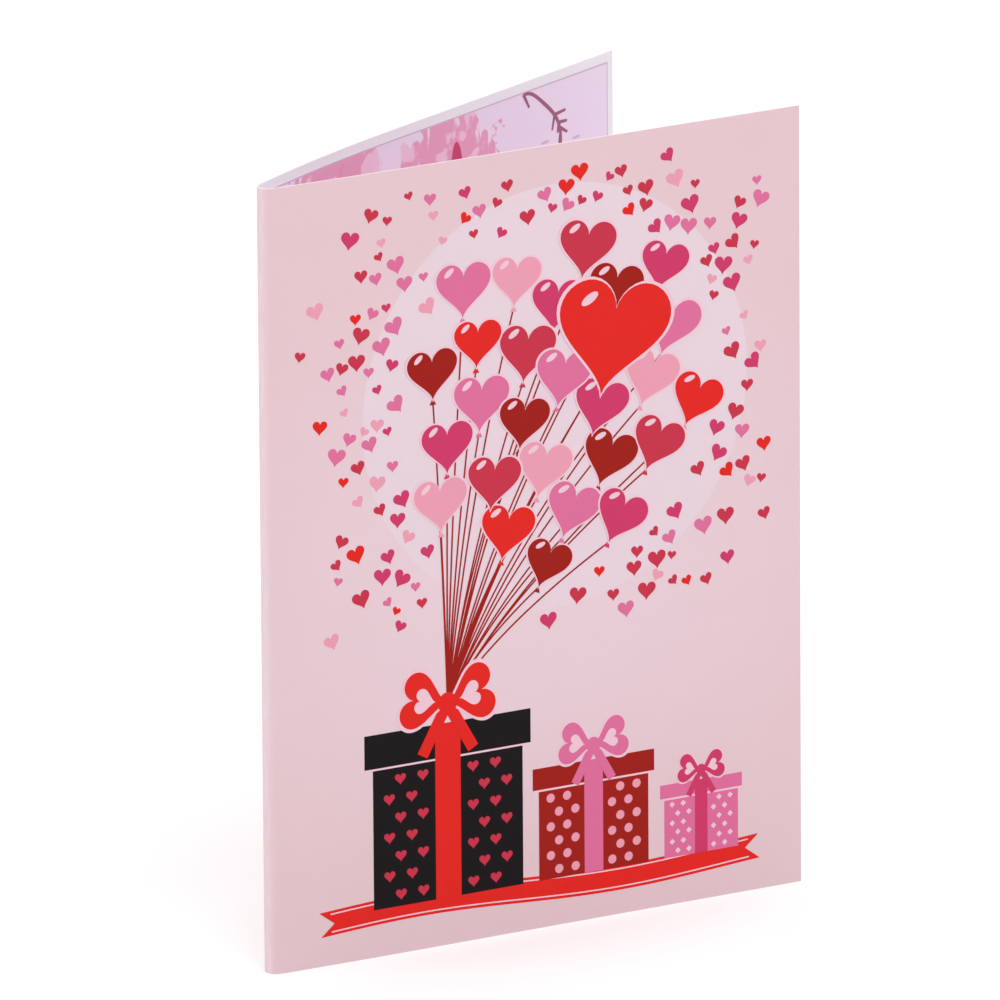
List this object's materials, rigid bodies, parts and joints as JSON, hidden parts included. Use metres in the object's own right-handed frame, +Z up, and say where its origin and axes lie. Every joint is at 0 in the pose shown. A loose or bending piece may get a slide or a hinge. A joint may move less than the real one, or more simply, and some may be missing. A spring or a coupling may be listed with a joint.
{
  "type": "pop-up card",
  "caption": "Folded greeting card that stands part open on the lower edges of its leaves, with a glued-in liner and die-cut heart sheets that fold out between them.",
  "frame": {"origin": "on the surface that the card stands on, under the middle of its box", "axes": "+Z up along the spine, +X from the spine towards the open edges, -Y the way the front leaf faces"},
  "size_m": [0.1458, 0.069, 0.2],
  "materials": {
    "cover_card": "satin card, pale pink, printed",
    "liner_paper": "matt, pale lilac, printed",
    "red_paper": "matt, dyed through",
    "rose_paper": "matt, dyed through",
    "crimson_paper": "matt, dyed through"
  },
  "bodies": {
    "root": {"cover": "cover_card", "liner": "liner_paper", "popup_heart": "red_paper", "popup_balloons": "rose_paper", "popup_gift_box": "crimson_paper"}
  },
  "joints": []
}
